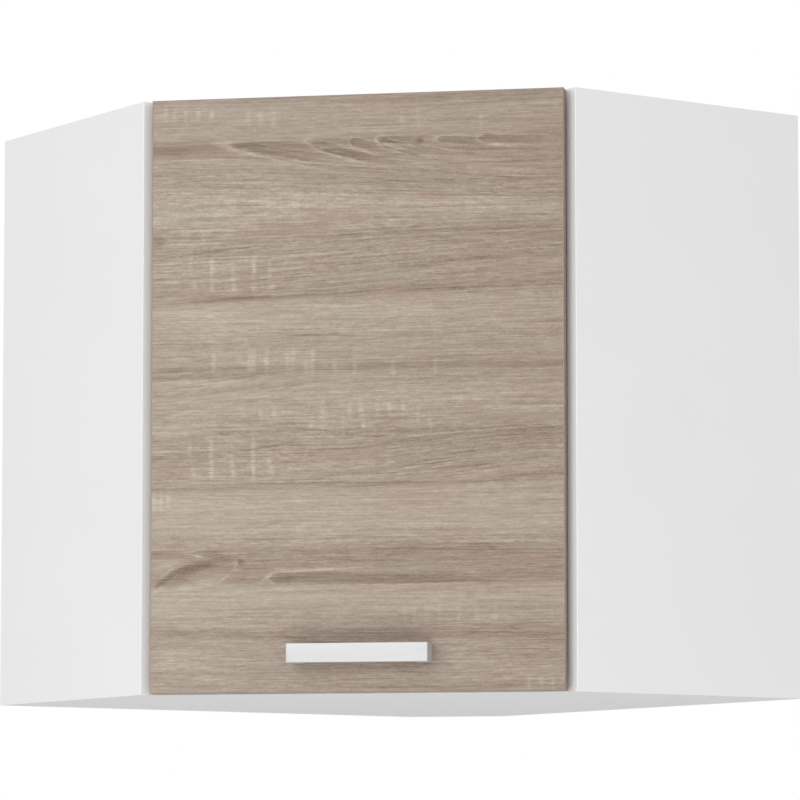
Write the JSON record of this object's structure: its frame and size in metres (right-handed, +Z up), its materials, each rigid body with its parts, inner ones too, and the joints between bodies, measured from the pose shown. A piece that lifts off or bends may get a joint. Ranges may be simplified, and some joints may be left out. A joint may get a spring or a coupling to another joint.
{
  "type": "corner wall cabinet",
  "caption": "Diagonal corner wall cabinet with a clipped rear corner, an oak-faced door on swan-neck hinges, a loose shelf and concealed adjustable hangers.",
  "frame": {"origin": "on the underside, under the middle of the overall footprint", "axes": "+Z up, the door faces -Y, +X to the right of someone facing the door; X = 0 is the carcass's plane of symmetry, and the two walls run at 45 degrees to X and Y behind it"},
  "size_m": [0.8486, 0.6094, 0.603],
  "materials": {
    "white_melamine": "white melamine-faced chipboard, fine satin texture",
    "white_edge_band": "white edging, satin",
    "white_hardboard": "white lacquered hardboard, brown back",
    "oak_laminate": "grey-brown oak grain laminate, horizontal",
    "oak_edge_band": "oak-coloured edging, satin",
    "satin_aluminium": "satin, light",
    "beech": "fluted beech",
    "clear_bumper": "soft translucent",
    "white_plastic": "white moulded plastic",
    "nickel_steel": "nickel-plated steel",
    "zinc_casting": "nickel-plated die casting"
  },
  "bodies": {
    "carcass": {"bottom_panel": "white_melamine", "cam_bolts": "nickel_steel", "cam_cover_caps": "white_plastic", "cam_locks": "zinc_casting", "front_edge_bands": "white_edge_band", "hanger_adjusting_screws": "nickel_steel", "hinge_arm_screws": "nickel_steel", "left_back_panel": "white_hardboard", "left_hanger_case": "white_plastic", "left_side_edge_band": "white_edge_band", "left_side_panel": "white_melamine", "lower_hinge_arm": "nickel_steel", "lower_mounting_plate": "zinc_casting", "plate_screws": "nickel_steel", "rear_corner_board": "white_melamine", "right_back_panel": "white_hardboard", "right_hanger_case": "white_plastic", "right_side_edge_band": "white_edge_band", "right_side_panel": "white_melamine", "shelf_pins": "nickel_steel", "top_panel": "white_melamine", "upper_hinge_arm": "nickel_steel", "upper_mounting_plate": "zinc_casting", "wood_dowels": "beech"},
    "door": {"door_panel": "oak_laminate", "door_edge_bands": "oak_edge_band", "door_handle": "satin_aluminium", "handle_screws": "nickel_steel", "door_bumpers": "clear_bumper", "upper_hinge_cup": "nickel_steel", "lower_hinge_cup": "nickel_steel", "hinge_pins": "nickel_steel", "cup_screws": "nickel_steel"},
    "shelf": {"shelf_board": "white_melamine", "shelf_edge_band": "white_edge_band"},
    "left_carriage": {"left_hanger_carriage": "nickel_steel"},
    "right_carriage": {"right_hanger_carriage": "nickel_steel"},
    "left_hook": {"left_hanger_hook": "nickel_steel"},
    "right_hook": {"right_hanger_hook": "nickel_steel"}
  },
  "joints": [
    {"name": "door_hinge", "type": "hinge", "parent": "carcass", "child": "door", "pos_m": [-0.20251, -0.26918, 0.3015], "axis": [0, 0, -1], "range_deg": [0, 95]},
    {"name": "shelf_lift", "type": "slide", "parent": "carcass", "child": "shelf", "axis": [0, 0, 1], "range_m": [0, 0.03]},
    {"name": "left_hanger_height", "type": "slide", "parent": "carcass", "child": "left_carriage", "axis": [0, 0, 1], "range_m": [-0.005, 0.005]},
    {"name": "right_hanger_height", "type": "slide", "parent": "carcass", "child": "right_carriage", "axis": [0, 0, 1], "range_m": [-0.005, 0.005]},
    {"name": "left_hook_draw", "type": "slide", "parent": "left_carriage", "child": "left_hook", "axis": [0.7071, -0.7071, 0], "range_m": [0, 0.008]},
    {"name": "right_hook_draw", "type": "slide", "parent": "right_carriage", "child": "right_hook", "axis": [-0.7071, -0.7071, 0], "range_m": [0, 0.008]}
  ]
}
